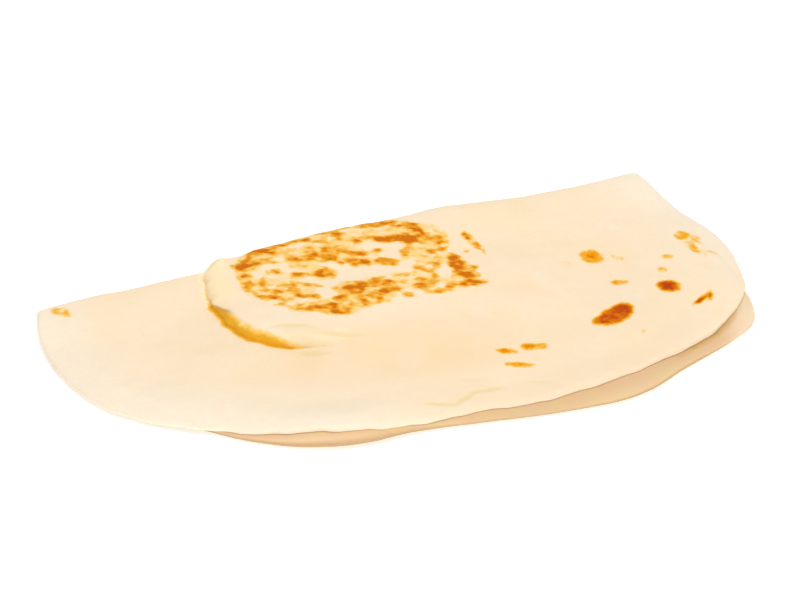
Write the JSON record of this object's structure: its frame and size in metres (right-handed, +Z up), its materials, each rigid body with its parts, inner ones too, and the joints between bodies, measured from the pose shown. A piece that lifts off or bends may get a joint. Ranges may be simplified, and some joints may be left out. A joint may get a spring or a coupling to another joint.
{
  "type": "folded lavash flatbread",
  "caption": "Soft, nearly round flatbread folded once, its upper leaf lying on the lower one, with a large blister beside the fold.",
  "frame": {"origin": "middle of the bread's footprint, on the plane it rests on", "axes": "+X along the fold, towards its right end as seen from the free edges; +Y from the free edges to the fold; +Z up"},
  "size_m": [0.3017, 0.1522, 0.0157],
  "materials": {
    "crust": "matt pale baked dough with golden and brown scorch marks"
  },
  "bodies": {
    "root": {"bread": "crust"}
  },
  "joints": []
}
